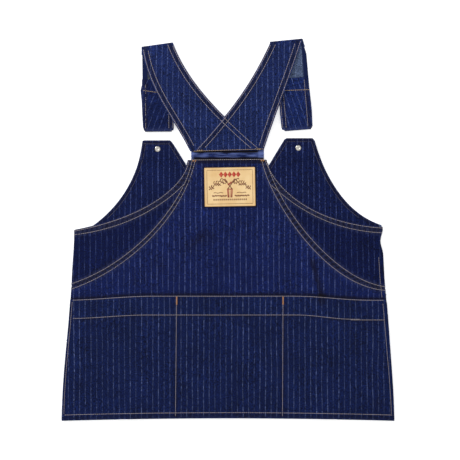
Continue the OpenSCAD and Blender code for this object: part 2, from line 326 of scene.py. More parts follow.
def denim(name, ground, stripe, turn=0.0, gap=8.9, start=2.2, strength=1.0, hem=False, wear_and_highlight="#434C78"):
    """Striped indigo twill, in millimetres: stripes of pale slub yarn, twill lines and uneven dye."""
    material, tree, shader = new_material(name)
    spot = add(tree, "TexCoord").outputs["Object"]
    place = add(tree, "Mapping", {
        "Vector": spot, "Rotation": (0, 0, turn), "Scale": (1000,) * 3}).outputs["Vector"]
    # The warp isn't quite straight: it wanders by a millimetre or so.
    drift = add(tree, "TexNoise", {"Vector": place, "Scale": 0.016, "Detail": 1.0}).outputs["Fac"]
    shift = add(tree, "MapRange", {
        "Value": drift, "To Min": -1.6 - start, "To Max": 1.6 - start}).outputs["Result"]
    x = add(tree, "SeparateXYZ", {"Vector": place}).outputs["X"]
    x = add(tree, "Math", {0: x, 1: shift}, operation="ADD").outputs[0]
    count = add(tree, "Math", {0: x, 1: gap}, operation="DIVIDE").outputs[0]
    count = add(tree, "Math", {0: count, 1: 0.5}, operation="ADD").outputs[0]
    part = add(tree, "Math", {0: count}, operation="FRACT").outputs[0]
    off = add(tree, "Math", {0: part, 1: 0.5}, operation="SUBTRACT").outputs[0]
    off = add(tree, "Math", {0: off}, operation="ABSOLUTE").outputs[0]
    # Each stripe is two yarns, 1.2 mm across, and no two are equally pale.
    line = add(tree, "MapRange", {
        "Value": off, "From Min": 0.035, "From Max": 0.105, "To Min": 1.0, "To Max": 0.0}).outputs["Result"]
    number = add(tree, "Math", {0: count}, operation="FLOOR").outputs[0]
    each = add(tree, "TexWhiteNoise", {"W": number}, noise_dimensions="1D").outputs["Value"]
    each = add(tree, "MapRange", {"Value": each, "To Min": 0.5, "To Max": 1.0}).outputs["Result"]
    slub_place = add(tree, "Mapping", {"Vector": place, "Scale": (0.3, 0.16, 0.3)}).outputs["Vector"]
    slub = add(tree, "TexNoise", {"Vector": slub_place, "Scale": 1.0, "Detail": 3.0}).outputs["Fac"]
    slub = add(tree, "MapRange", {
        "Value": slub, "From Min": 0.36, "From Max": 0.64,
        "To Min": 0.12, "To Max": strength}).outputs["Result"]
    line = add(tree, "Math", {0: line, 1: slub}, operation="MULTIPLY").outputs[0]
    line = add(tree, "Math", {0: line, 1: each}, operation="MULTIPLY").outputs[0]
    # Uneven dye: clouds a few centimetres across, smaller blotches, and flecks where the weft shows.
    # The real flecks are 0.5 mm long; 1.5 mm is the finest that shows.
    cloud = add(tree, "TexNoise", {"Vector": place, "Scale": 0.022, "Detail": 3.0}).outputs["Fac"]
    cloud = add(tree, "MapRange", {
        "Value": cloud, "From Min": 0.3, "From Max": 0.7, "To Min": 0.83, "To Max": 1.17}).outputs["Result"]
    blotch = add(tree, "TexNoise", {"Vector": place, "Scale": 0.13, "Detail": 2.0}).outputs["Fac"]
    blotch = add(tree, "MapRange", {
        "Value": blotch, "From Min": 0.3, "From Max": 0.7, "To Min": 0.86, "To Max": 1.14}).outputs["Result"]
    fleck_place = add(tree, "Mapping", {"Vector": place, "Scale": (0.95, 0.55, 0.95)}).outputs["Vector"]
    fleck = add(tree, "TexNoise", {"Vector": fleck_place, "Scale": 1.0, "Detail": 2.0}).outputs["Fac"]
    flecks = add(tree, "MapRange", {
        "Value": fleck, "From Min": 0.3, "From Max": 0.7, "To Min": 0.0, "To Max": 2.05}).outputs["Result"]
    shade = add(tree, "Math", {0: cloud, 1: blotch}, operation="MULTIPLY").outputs[0]
    shade = add(tree, "Math", {0: shade, 1: flecks}, operation="MULTIPLY").outputs[0]
    # Twill lines: the real ones are 0.6 mm apart; 1.1 mm shows without shimmer.
    twill_place = add(tree, "Mapping", {
        "Vector": place, "Rotation": (0, 0, math.radians(-33))}).outputs["Vector"]
    twill = add(tree, "TexWave", {
        "Vector": twill_place, "Scale": 0.29, "Distortion": 0.6, "Detail": 1.0},
        bands_direction="X").outputs["Fac"]
    ribs = add(tree, "MapRange", {"Value": twill, "To Min": 0.84, "To Max": 1.14}).outputs["Result"]
    shade = add(tree, "Math", {0: shade, 1: ribs}, operation="MULTIPLY").outputs[0]
    dyed = add(tree, "Mix", {0: line, 6: colour(ground), 7: colour(stripe)}, data_type="RGBA").outputs[2]
    dyed = add(tree, "VectorMath", {0: dyed, 3: shade}, operation="SCALE").outputs[0]
    # Painted shade: the first mark darkens the cloth towards dark brown between and beside rows of
    # stitching, in creases and in the shade of parts above it. The second makes it paler where it is
    # worn on crests and edges, and carries painted highlights on the casing's ridges and ends.
    seam = add(tree, "Attribute", attribute_name="seam").outputs["Fac"]
    dyed = add(tree, "Mix", {0: seam, 6: dyed, 7: colour("#100D16")}, data_type="RGBA").outputs[2]
    crest = add(tree, "Attribute", attribute_name="wear_and_highlight").outputs["Fac"]
    dyed = add(tree, "Mix", {0: crest, 6: dyed, 7: colour(wear_and_highlight)}, data_type="RGBA").outputs[2]
    if hem:
        # The turned edges show the face of the cloth on its wrong side.
        turned = add(tree, "Attribute", attribute_name="hem").outputs["Fac"]
        dyed = add(tree, "Mix", {0: turned, 6: dyed, 7: colour("#111C42")}, data_type="RGBA").outputs[2]
    tree.links.new(dyed, shader.inputs["Base Color"])
    rough = add(tree, "MapRange", {"Value": fleck, "To Min": 0.78, "To Max": 0.98}).outputs["Result"]
    tree.links.new(rough, shader.inputs["Roughness"])
    height = add(tree, "Math", {0: twill, 1: fleck}, operation="ADD").outputs[0]
    bump = add(tree, "Bump", {"Height": height, "Strength": 0.4, "Distance": 0.0004}).outputs["Normal"]
    tree.links.new(bump, shader.inputs["Normal"])
    shader.inputs["Specular IOR Level"].default_value = 0.12
    shader.inputs["Sheen Weight"].default_value = 0.03
    shader.inputs["Sheen Roughness"].default_value = 0.5
    shader.inputs["Sheen Tint"].default_value = colour("#8F9BD0")
    return material


face_denim = denim("indigo_stripe_twill", "#0E1A4A", "#4B5785")
wrong_side = denim("indigo_twill_wrong_side", "#5A6684", "#7C88A4", strength=0.5)

front = cut_cloth(front_outline, 5.0)
front_area = flat_area(front)
tab_lift = 3.0


def tab_rise(y):
    """The tabs are held up off the table by the caps of their buttons."""
    return tab_lift * smooth(y, 404, 428)


# Its striped face is underneath, so the sheet is turned over and gets its thickness upwards.
bmesh.ops.reverse_faces(front, faces=front.faces)
for v in front.verts:
    v.co.z = lie(v.co.x, v.co.y) + tab_rise(v.co.y)
front_piece = make_piece(
    "front_panel_cloth", front, [face_denim, wrong_side], "apron_body", ["front_panel"])
thicken(front_piece)

# ---- Front facing ----
# A second layer inside the top of the front, bagged out round the tabs and armholes, so each tab
# is two layers thick with a line of edge stitching. Its face shows on the tabs from behind.

# Darker than the face denim: the tabs are painted as lying in shade.
facing_denim = denim("indigo_stripe_twill_facing", "#0A153E", "#435080", start=4.0, strength=0.9)
facing_side = underarm_half - 4
button_x, button_y = 112.5, 434.5
facing_low = curve((facing_side, 285), (130, 298), (110, 315), (60, 315))
facing_right = [p for p in top_edges["right"] if p[0] < facing_side]
facing_left = [p for p in top_edges["left"] if p[0] > -facing_side]
facing_outline = facing_low[::-1] + facing_right + facing_left[-2::-1] + [(-x, y) for x, y in facing_low]
facing = cut_cloth(facing_outline, 2.5)
facing_area = flat_area(facing)
facing_edge = near_lines(list(top_edges.values()))


def facing_height(x, y):
    """The facing's face: full round its edges, and dented by the stitches and the buttons."""
    gap, run = facing_edge(x, y)
    roll = 0.5 * bell(gap - 3, 2.5) - 0.6 * bell(gap, 1.2) - 0.4 * bell(gap - 5.8, 1.1)
    pucker = 0.16 * math.sin(run / 1.25 + 2 * math.sin(run / 17)) * bell(gap - 5, 5)
    dent = -0.5 * bell(math.hypot(abs(x) - button_x, y - button_y), 9)
    return lie(x, y) + tab_rise(y) + 2 * cloth_thickness + 0.05 + roll + pucker + dent


mark(facing, "wear_and_highlight", lambda x, y: 0.3 * bell(facing_edge(x, y)[0], 1.2))
# Painted shade in a band 3.4 mm in from the edge, between the edge and its row of stitching.
mark(facing, "seam", lambda x, y: 0.6 * bell(facing_edge(x, y)[0] - 3.4, 2))
for v in facing.verts:
    v.co.z = facing_height(v.co.x, v.co.y)
facing_piece = make_piece(
    "front_facing_cloth", facing, [facing_denim, wrong_side], "apron_body", ["front_facing"])
thicken(facing_piece)

# ---- Side-back pieces ----
# Two crescents of the same denim under the arms, one for each side. Each is felled to the middle
# of the back with two rows of stitching, and its armhole edge is turned under and stitched twice.


def beside(line, gap):
    """A line moved sideways, to its left."""
    moved = []
    for i, (x, y) in enumerate(line):
        (ax, ay), (bx, by) = line[max(i - 1, 0)], line[min(i + 1, len(line) - 1)]
        length = math.hypot(bx - ax, by - ay)
        moved.append((x - (by - ay) / length * gap, y + (bx - ax) / length * gap))
    return moved


def within(line, side):
    """The part of a line inside the side edge, with its end on that edge."""
    reach = side_line(side, 150, 310)
    sign = 1 if side == "right" else -1
    far = [(min(reach, key=lambda q: abs(q[1] - y))[0] * sign, y) for _, y in line]
    kept = [p for p, (limit, _) in zip(line, far) if p[0] * sign < limit - 0.4]
    (ax, ay), (bx, by) = kept[0], kept[1]
    limit = min(reach, key=lambda q: abs(q[1] - ay))[0]
    return [(limit, ay + (by - ay) * (limit - ax) / (bx - ax))] + kept


# The four rows of stitching on each side, from the side edge up to the yoke: two round the
# armhole and two along the felled seam. The back lies a little further left than the front.
rows_right = [within([p for p in row if p[1] < back_top - 0.5], "right") for row in (
    curve((262, 307.5), (128, 311), (71, 378), (59, 418.5), 200),
    curve((256, 300.5), (133, 301), (69.5, 381), (69, 376), 200),
    curve((256, 214), (164, 221), (57, 371.6), (60, 437), 200),
    curve((258, 208.6), (159, 208), (65, 355), (54, 418), 200),
)]
rows_left = [within(mirrored([p for p in row if p[1] < back_top - 0.5]), "left") for row in (
    curve((256, 301.5), (134.5, 322.3), (67.7, 373.8), (62.5, 417), 200),
    curve((256, 296.5), (129, 307.6), (70.5, 378.7), (67.8, 381), 200),
    curve((257, 217), (146.4, 250.4), (67.7, 352.8), (57, 418), 200),
    curve((257, 208.5), (147.6, 243.5), (67.4, 339.3), (52.5, 417), 200),
)]
back_edges = {
    "right": within(beside(rows_right[0], -2.1), "right"),
    "left": within(beside(rows_left[0], 2.1), "left"),
}


def between(a, b):
    """The line half-way between two rows."""
    middle = []
    near_b = [Vector(p) for p in b]
    for p in a:
        q = min(near_b, key=lambda spot: (spot - Vector(p)).length)
        middle.append(((p[0] + q.x) / 2, (p[1] + q.y) / 2))
    return middle


seam_middles = {"right": between(rows_right[2], rows_right[3]), "left": between(rows_left[2], rows_left[3])}
stitched = near_lines(rows_right + rows_left)
armhole_middles = [beside(rows_right[0], 4.0), beside(rows_left[0], -4.0)]
ridges = near_lines(list(seam_middles.values()) + armhole_middles)


def back_height(x, y):
    """The back's face: full along the seams, drawn in at each row, and puckered beside them."""
    gap, run = ridges(x, y)
    row_gap, row_run = stitched(x, y)
    ridge = 0.9 * smooth(6.6 - gap, 0, 2.4)
    groove = -0.45 * bell(row_gap, 1.0)
    rope = 0.28 * math.sin((row_run + 0.8 * gap) / 1.3 + 1.5 * math.sin(row_run / 23)) * bell(gap, 7)
    ripple = 0.35 * noise.noise(Vector((x / 9, y / 9, 4.0))) * bell(gap, 16)
    return lie(x, y) + 3.3 + ridge + groove + rope + ripple


def crease_shade(x, y):
    """Dark on the side of a crease that's turned away from the window."""
    return 0.55 * smooth(crease_height(x - 5, y + 5) - crease_height(x + 5, y - 5), 0.15, 1.5)


def seam_shade(x, y):
    """Painted shade between the two rows of a seam, in the slanting rhythm of its puckers, in a line beside it,
    and in creases.
    """
    gap, run = ridges(x, y)
    rope = 0.7 + 0.3 * math.sin((run + 0.8 * gap) / 1.3 + 1.5 * math.sin(run / 23))
    return (0.95 * smooth(4.4 - gap, 0, 1.2) + 0.3 * bell(gap - 6.0, 1.0)) * rope + crease_shade(x, y)


def seam_wear(x, y):
    """Pale on the puckers beside each row of stitching."""
    gap, run = stitched(x, y)
    return (0.2 + 0.2 * math.sin(run / 1.3 + 1.5 * math.sin(run / 23))) * bell(gap - 2.0, 1.7)


crescent_denim = denim("indigo_stripe_twill_side", "#07113A", "#3A4672", strength=0.85)
for side in ("right", "left"):
    edge, middle = back_edges[side], seam_middles[side]
    outline = [middle[0]] + side_line(side, middle[0][1] + 1, edge[0][1] - 1)
    outline += edge[::4] + edge[-1:] + middle[:0:-4]
    crescent = cut_cloth(outline, 2.5)
    crescent_area = flat_area(crescent)
    mark(crescent, "seam", seam_shade)
    mark(crescent, "wear_and_highlight", seam_wear)
    for v in crescent.verts:
        v.co.z = back_height(v.co.x, v.co.y)
    piece = make_piece(
        f"side_back_{side}_cloth", crescent, [crescent_denim, wrong_side], "apron_body",
        [f"side_back_{side}", f"armhole_hem_{side}", f"back_seam_{side}"])
    thicken(piece)

# ---- Back panel ----
# The middle of the back, one piece of striped denim from the hem to the yoke. It's felled to the
# crescents, turned under along its top edge and hemmed along the bottom.


def mouth(x):
    """Height of the pocket mouth across the garment, as it lies."""
    return 200.3 - 6.5 * smooth(abs(x), 120, 260) - 1.8 * smooth(x, 100, 190) * (1 - smooth(x, 190, 260))


hem_line = mirrored(hem_edge)[::-1] + hem_edge[1:]
hem_gap = near_lines([hem_line])
back_right = side_line("right", 0, seam_middles["right"][0][1] - 0.5) + seam_middles["right"]
back_left = side_line("left", 0, seam_middles["left"][0][1] - 0.5) + seam_middles["left"]
back_corners = [(57.6, back_top + 0.3), (-59.2, back_top - 0.7)]
back_outline = hem_edge + back_right + back_corners + back_left[::-1] + mirrored(hem_edge)[:0:-1]
back = cut_cloth(back_outline, 2.5)
back_area = flat_area(back)


def back_shade(x, y):
    """The seams' shade, and what lies in the shade of the elastic, the pocket mouth and the patch."""
    below_top = 0.7 * smooth(y, back_top - 9, back_top - 5) * (abs(x) < 60)
    above_mouth = 0.85 * bell(y - mouth(x) - 1.6, 2.4)
    round_patch = 0.6 * smooth(45.0 - abs(x - 3), 0, 3) * smooth(35.0 - abs(y - 374), 0, 3)
    return seam_shade(x, y) + below_top + above_mouth + round_patch


mark(back, "seam", back_shade)
mark(back, "wear_and_highlight", seam_wear)
for v in back.verts:
    v.co.z = back_height(v.co.x, v.co.y)
back_piece = make_piece(
    "back_panel_cloth", back, [face_denim, wrong_side], "apron_body",
    ["back_panel", "back_top_hem"])
thicken(back_piece)

# ---- Pocket panel ----
# One wide strip across the back, sewn up both sides, along the hem and down two divisions. Its
# mouth has a 30 mm folded hem, and gold bar tacks at the divisions.

divisions = [(-82.0, -84.0), (88.0, 87.0)]


def mouth_row(x):
    """Height of the row of stitching along the folded hem of the mouth."""
    return 169.4 - 5.5 * smooth(-x, 130, 250) - 6.8 * smooth(x, 110, 200)


pocket_right = side_line("right", 0, 190)
pocket_left = side_line("left", 0, 190)
mouth_line = [(x, mouth(x)) for x in range(256, -257, -4) if pocket_left[-1][0] < x < pocket_right[-1][0]]
pocket_outline = hem_edge + pocket_right + mouth_line + pocket_left[::-1] + mirrored(hem_edge)[:0:-1]
pocket = cut_cloth(pocket_outline, 2.5)
pocket_area = flat_area(pocket)
division_gap = near_lines([[(x0, mouth(x0)), (x1, 6)] for x0, x1 in divisions])


def pocket_height(x, y):
    """The pocket panel's face: a thick hem at the mouth, rolled edges, and pinched at the divisions."""
    below_mouth, from_row = mouth(x) - y, y - mouth_row(x)
    hem = 1.0 * smooth(y, mouth_row(x) - 3.0, mouth_row(x) + 1.5)
    lip = -0.5 * bell(below_mouth, 0.8)
    rows = -0.4 * bell(from_row, 1.2) - 0.3 * bell(below_mouth - 3.0, 1.1)
    gap = division_gap(x, y)[0]
    pinch = -0.6 * bell(gap, 2.0) + 0.3 * bell(gap - 5, 4)
    low = hem_gap(x, y)[0]
    foot = 0.9 * smooth(10.8 - low, 0, 3) - 0.4 * bell(low - 9.3, 1.2) - 0.5 * bell(low, 1.0)
    puckered = bell(from_row, 5) + bell(low - 9.3, 5) + 0.6 * bell(below_mouth - 2, 4)
    wrinkle = 0.18 * math.sin(x / 1.5 + 2 * math.sin(x / 19)) * puckered
    belly = 0.8 * (0.5 + 0.5 * noise.noise(Vector((x / 55, y / 70, 11.0)))) * smooth(gap, 2, 30)
    return lie(x, y) + 4.9 + hem + lip + rows + pinch + foot + wrinkle + belly * smooth(low, 5, 40)


def pocket_wear(x, y):
    """Pale along the mouth and the hem, and on the puckers at the mouth's row."""
    edge = bell(mouth(x) - y, 1.5) + bell(hem_gap(x, y)[0], 1.5)
    return 0.18 * edge + 0.05 * math.sin(x / 1.5 + 2 * math.sin(x / 19)) * bell(y - mouth_row(x), 5)


def pocket_shade(x, y):
    """Painted shade along the hem, below the mouth's row, beside the divisions and in creases."""
    row_shade = 0.4 * bell(hem_gap(x, y)[0] - 5, 3) + 0.4 * bell(y - mouth_row(x) + 2.2, 1.4)
    return row_shade + 0.4 * bell(division_gap(x, y)[0] - 1.5, 1.2) + 0.8 * crease_shade(x, y)


mark(pocket, "wear_and_highlight", pocket_wear)
mark(pocket, "seam", pocket_shade)
for v in pocket.verts:
    v.co.z = pocket_height(v.co.x, v.co.y)
pocket_denim = denim("indigo_stripe_twill_pocket", "#0C1841", "#4A567C", gap=9.0, start=6.0)
pocket_piece = make_piece(
    "pocket_panel_cloth", pocket, [pocket_denim, wrong_side], "apron_body",
    ["pocket_panel", "pocket_mouth_hem", "back_hem"])
thicken(pocket_piece)

# ---- Seam allowances and the front's hem ----
# Hidden layers between front and back, of the same denim, with its wrong side out: the sewn
# allowances that join the two down each side, and the front's own hem, turned in.

seam_width = 9
between_layers = 2.15
for side, mirror in (("left", -1), ("right", 1)):
    edge = [(abs(x), y) for x, y in side_line(side, 2, 270)]
    strip = [(x - 0.6, y) for x, y in edge] + [(x - seam_width, y) for x, y in edge[::-1]]
    allowance = cut_cloth([(mirror * x, y) for x, y in strip], 5.0)
    for v in allowance.verts:
        v.co.z = lie(v.co.x, v.co.y) + between_layers
    piece = make_piece(
        f"side_seam_{side}_cloth", allowance, [wrong_side], "apron_body", [f"side_seam_{side}"])
    thicken(piece, inside=0)
middle_hem = [(x, y) for x, y in hem_line if abs(x) < underarm_half]
hem_strip = [(x, y + 0.3) for x, y in middle_hem] + [(x, y + 8.5) for x, y in middle_hem[::-1]]
front_hem = cut_cloth(hem_strip, 5.0)
for v in front_hem.verts:
    v.co.z = lie(v.co.x, v.co.y) + between_layers
front_hem_piece = make_piece(
    "front_hem_cloth", front_hem, [wrong_side], "apron_body", ["front_hem"])
thicken(front_hem_piece, inside=0)

# ---- Straps ----
# Two wedge-shaped straps, cut wide at the yoke and narrow at the shoulder. They cross above the
# back and are sewn together there. Each is folded over at the shoulder and hangs down behind.

yoke = next(j for j in frame["joints"] if j["name"] == "yoke_fold")
yoke_line = yoke["pos_m"][1] / MM - hem_y
strap_denim = denim("indigo_stripe_twill_strap", "#15224F", "#4F5C89", start=1.0)
strap_inside = denim("indigo_twill_strap_wrong_side", "#4C5978", "#7F8CAA", strength=0.5, hem=True)


def fold_frame(name):
    """Where a fold is: a point on it, its direction, and the direction beyond it, in the garment's plane."""
    joint = next(j for j in frame["joints"] if j["name"] == name)
    point = Vector((joint["pos_m"][0] / MM, joint["pos_m"][1] / MM - hem_y))
    along = Vector(joint["axis"][:2]).normalized()
    return point, along, Vector((-along.y, along.x)), joint["pos_m"][2] / MM


fold_round = 1.3
tail = 12.0


def strap_level(base, y):
    """Underside of a strap's back run, over the folded strap end and down to the shoulder."""
    stops = [(yoke_line, base), (454, base), (470, base + 3.2), (496, base + 3.2),
             (520, 5.6), (545, 3.8), (585, 1.75), (640, 1.65)]
    for (y0, z0), (y1, z1) in zip(stops, stops[1:]):
        if y <= y1:
            return z0 + (z1 - z0) * smooth(y, y0, y1)
    return stops[-1][1]


def fixed_mesh(piece):
    """Makes a piece's modifiers part of its mesh."""
    bpy.context.view_layer.update()
    shown = piece.evaluated_get(bpy.context.evaluated_depsgraph_get())
    mesh = bpy.data.meshes.new_from_object(shown)
    piece.modifiers.clear()
    piece.data = mesh


yoke_edge = [(-60.6, yoke_line + 1.0), (57.2, yoke_line + 2.8)]
strap_edges = {
    "left": (curve((-138, 597.5), (-127.1, 526.8), (-90, 490.1), yoke_edge[0])[::-1],
             curve((-88, 604.5), (-67, 548.4), (-22.9, 496.5), (54.6, yoke_line + 2.7))),
    "right": (curve((119, 610.5), (101.2, 552.3), (74.5, 488.1), yoke_edge[1])[::-1],
              curve((68, 605.5), (47.3, 562.1), (23, 511.6), (-54.3, yoke_line + 1.1))),
}
strap_heights = {}
for side, base, fold_name, tip_aims in (
    ("left", 2.3, "left_shoulder_fold", ((-138.6, 586), (-88, 590))),
    ("right", 3.5, "right_shoulder_fold", ((124, 597), (66, 595))),
):
    outer, inner = strap_edges[side]
    point, along, beyond, fold_z = fold_frame(fold_name)
    # Past the fold the strap carries on flat, and is rolled under below.
    tips = []
    for corner, aim in zip((outer[-1], inner[0]), tip_aims):
        run = Vector(aim) - Vector(corner)
        slide = run.dot(along) / abs(run.dot(beyond)) * tail
        tips.append((Vector(corner) + beyond * (math.pi * fold_round + tail) + along * slide).to_tuple())
    outline = outer + tips + inner
    strap = cut_cloth(outline, 2.5)
    for k in range(9):
        bmesh.ops.bisect_plane(
            strap, geom=strap.verts[:] + strap.edges[:] + strap.faces[:], dist=0.01,
            plane_co=(point + beyond * math.pi * fold_round * k / 8).to_3d(), plane_no=beyond.to_3d())
    strap_area = flat_area(strap)
    edges = near_lines([outer, inner])

    def strap_height(x, y, base=base, edges=edges, fold=(point, beyond, fold_z)):
        """The strap's face: hemmed along both edges, and let down to its fold at the shoulder."""
        gap, run = edges(x, y)
        ridge = 0.55 * smooth(10.8 - gap, 0, 2.5) - 0.45 * bell(gap, 1.0)
        groove = -0.35 * (bell(gap - 2.0, 1.0) + bell(gap - 9.2, 1.0))
        rope = 0.2 * math.sin((run + 0.7 * gap) / 1.35 + 1.5 * math.sin(run / 21)) * bell(gap - 5.5, 5)
        swell = 0.6 * (0.5 + 0.5 * noise.noise(Vector((x / 30, y / 36, 21.0 + base))))
        swell *= smooth(y, 440, 470) * smooth(600 - y, 0, 30)
        high = strap_level(base, y) + cloth_thickness + ridge + groove + rope + swell
        return high + (fold[2] + fold_round - high) * smooth((Vector((x, y)) - fold[0]).dot(fold[1]), -22, 0)

    def strap_shade(x, y, edges=edges):
        """Painted shade between the two rows of each hem, and beside the inner one."""
        gap = edges(x, y)[0]
        between_rows = 0.55 * smooth(9.0 - gap, 0, 1.5) * smooth(gap, 2.0, 3.5)
        return between_rows + 0.3 * bell(gap - 10.6, 0.9)

    mark(strap, "seam", strap_shade)
    mark(strap, "wear_and_highlight", lambda x, y: 0.3 * bell(edges(x, y)[0], 1.3))
    mark(strap, "hem", lambda x, y: smooth(9.8 - edges(x, y)[0], 0, 1.0))
    for v in strap.verts:
        q = v.co.xy - point
        past = q.dot(beyond)
        if past <= 0:
            v.co.z = strap_height(v.co.x, v.co.y)
        else:
            flat = point + along * q.dot(along)
            angle = min(past / fold_round, math.pi)
            under = max(0.0, past - math.pi * fold_round)
            spot = flat + beyond * (math.sin(angle) * fold_round - under)
            v.co = Vector((spot.x, spot.y, fold_z + math.cos(angle) * fold_round))
    piece = make_piece(
        f"strap_{side}_cloth", strap, [strap_denim, strap_inside], None, [f"strap_{side}"])
    thicken(piece)
    fixed_mesh(piece)
    middle = (point.x * MM, (point.y + hem_y) * MM)
    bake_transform(piece)
    strap_heights[side] = strap_height

# ---- Strap ends ----
# Past the shoulder each strap narrows, passes round the bar of its buckle, and is turned up on
# itself and stitched across. Its wrong side shows above the turned-up end.

end_denim = {
    "left": denim("indigo_stripe_twill_left_end", "#0B1740", "#414E7C", turn=math.radians(20)),
    "right": denim("indigo_stripe_twill_right_end", "#122152", "#4B5987", turn=math.radians(-18)),
}
turn_up, bar_height, bar_wrap = 82.0, 2.15, 2.15
end_inside = {
    # The left one is darker and greyer than the right: painted shade from the strap lying over it.
    "left": denim("indigo_twill_left_end_wrong_side", "#474C50", "#6C7174", strength=0.5, hem=True),
    "right": denim("indigo_twill_right_end_wrong_side", "#46536F", "#8290AE", strength=0.5, hem=True),
}
# How wide each strap end lies, at distances from its buckle's bar: left edge, then right edge.
turned_up_edges = {
    "left": ([(0, -22.8), (6, -24.6), (25, -25.4), (45, -26), (64, -27.9), (73, -25.7), (turn_up, -25.5)],
             [(0, 24.3), (4, 25), (turn_up, 25)]),
    "right": ([(0, -24.6), (4, -25.8), (13, -26.0), (23, -26.4), (turn_up, -25.5)],
              [(0, 22.6), (3, 24.1), (28, 24.8), (56, 24.2), (71, 23.6), (turn_up, 23)]),
}
# The right one's edge stands out a little on its way up to the shoulder.
bulge = {"left": [], "right": [(23.5, 125.8)]}
# The neck round the bar is narrower than the strap, so that the wire can swing beside it.
neck_half, neck_start, neck_end = 21.3, 0.5, 11
end_frames = {}


def flap_level(s):
    """Underside of the turned-up part, s millimetres from the bar."""
    return 3.3 - 2.15 * smooth(s, 41, 54)


def under_level(s):
    """Face of the part below, which ends on top of the strap's own end."""
    return 2.2 * smooth(s, 4, 9) * (1 - smooth(s, 45, 52)) + 0.12 * smooth(s, 80, 100)


for side in ("left", "right"):
    outer, inner = strap_edges[side]
    joint = next(j for j in frame["joints"] if j["name"] == f"{side}_buckle_pivot")
    centre = Vector((joint["pos_m"][0] / MM, joint["pos_m"][1] / MM - hem_y))
    across = -Vector(joint["axis"][:2]).normalized()
    up = Vector((-across.y, across.x))
    _, _, beyond, _ = fold_frame(f"{side}_shoulder_fold")
    end_frames[side] = (centre, across, up)
    wrap = math.pi * bar_wrap
    # Across the strap, and along it from the bar: the turned-up part is below zero.
    tops = []
    for corner in (outer[-1], inner[0]):
        place = Vector(corner) - beyond * 2.5
        tops.append(((place - centre).dot(across), (place - centre).dot(up) + wrap))
    tops.sort()
    left_edge, right_edge = turned_up_edges[side]
    outline = [(x, -y) for y, x in reversed(right_edge)]
    outline += [(neck_half, neck_start), (neck_half, wrap + neck_end), (24.4, wrap + neck_end + 3)]
    outline += bulge[side] + [tops[1], tops[0]]
    outline += [(-24.6, wrap + neck_end + 3), (-neck_half, wrap + neck_end), (-neck_half, neck_start)]
    outline += [(x, -y) for y, x in left_edge]
    end = cut_cloth(outline, 2.5)
    for k in range(9):
        bmesh.ops.bisect_plane(
            end, geom=end.verts[:] + end.edges[:] + end.faces[:], dist=0.01,
            plane_co=(0, wrap * k / 8, 0), plane_no=(0, 1, 0))
    end_area = flat_area(end)
    # Painted shade between the two rows along each hem.
    mark(end, "seam", lambda x, s: 0.5 * smooth(abs(x), 16.5, 18) * smooth(23.2 - abs(x), 0, 1.5))
    mark(end, "hem", lambda x, s: smooth(abs(x), 15.2, 16.2))
    mark(end, "wear_and_highlight", lambda x, s: 0.25 * bell(25 - abs(x), 1.3) + 0.3 * bell(s, 2.5))
    for v in end.verts:
        x, s = v.co.x, v.co.y
        edge = 25 - abs(x)
        relief = 0.5 * smooth(9.8 - edge, 0, 2.5) - 0.35 * bell(edge - 1.7, 1.0) - 0.35 * bell(edge - 8.0, 1.0)
        relief += 0.2 * math.sin(s / 1.35 + 2 * math.sin(s / 21)) * bell(edge - 5, 5)
        if s <= 0:
            cross_stitch = 0.4 * bell(s + 66, 1.3)
            swell = 0.7 * (0.5 + 0.5 * noise.noise(Vector((x / 18, s / 24, 31.0)))) * smooth(-s, 4, 20)
            y = -s
            z = flap_level(-s) + cloth_thickness + relief * smooth(-s, 2, 8) - cross_stitch + swell
        elif s < wrap:
            y, z = -math.sin(s / bar_wrap) * bar_wrap, bar_height + math.cos(s / bar_wrap) * bar_wrap
        else:
            y, z = s - wrap, under_level(s - wrap)
        spot = centre + across * x + up * y
        v.co = Vector((spot.x, spot.y, z))
    end.normal_update()
    flap = max(end.faces, key=lambda f: f.calc_center_median().z)
    if flap.normal.z < 0:
        bmesh.ops.reverse_faces(end, faces=end.faces)
    piece = make_piece(
        f"strap_end_{side}_cloth", end, [end_denim[side], end_inside[side]], f"{side}_drop",
        [f"strap_end_{side}"])
    thicken(piece)

# ---- Buckles ----
# Overall buckles bent from 2 mm nickel-plated steel wire: a straight bar in the strap's turn, and
# a loop that narrows to a slot for the tack button. They lie hidden under the strap ends.

nickel, tree, shader = new_material("nickel_plate")
spot = add(tree, "TexCoord").outputs["Object"]
scuffs = add(tree, "TexNoise", {"Vector": spot, "Scale": 700.0, "Detail": 4.0}).outputs["Fac"]
tint = add(tree, "Mix", {0: scuffs, 6: colour("#D8D6CF"), 7: colour("#B4B0A6")}, data_type="RGBA").outputs[2]
tree.links.new(tint, shader.inputs["Base Color"])
rough = add(tree, "MapRange", {"Value": scuffs, "To Min": 0.18, "To Max": 0.42}).outputs["Result"]
tree.links.new(rough, shader.inputs["Roughness"])
shader.inputs["Metallic"].default_value = 1.0

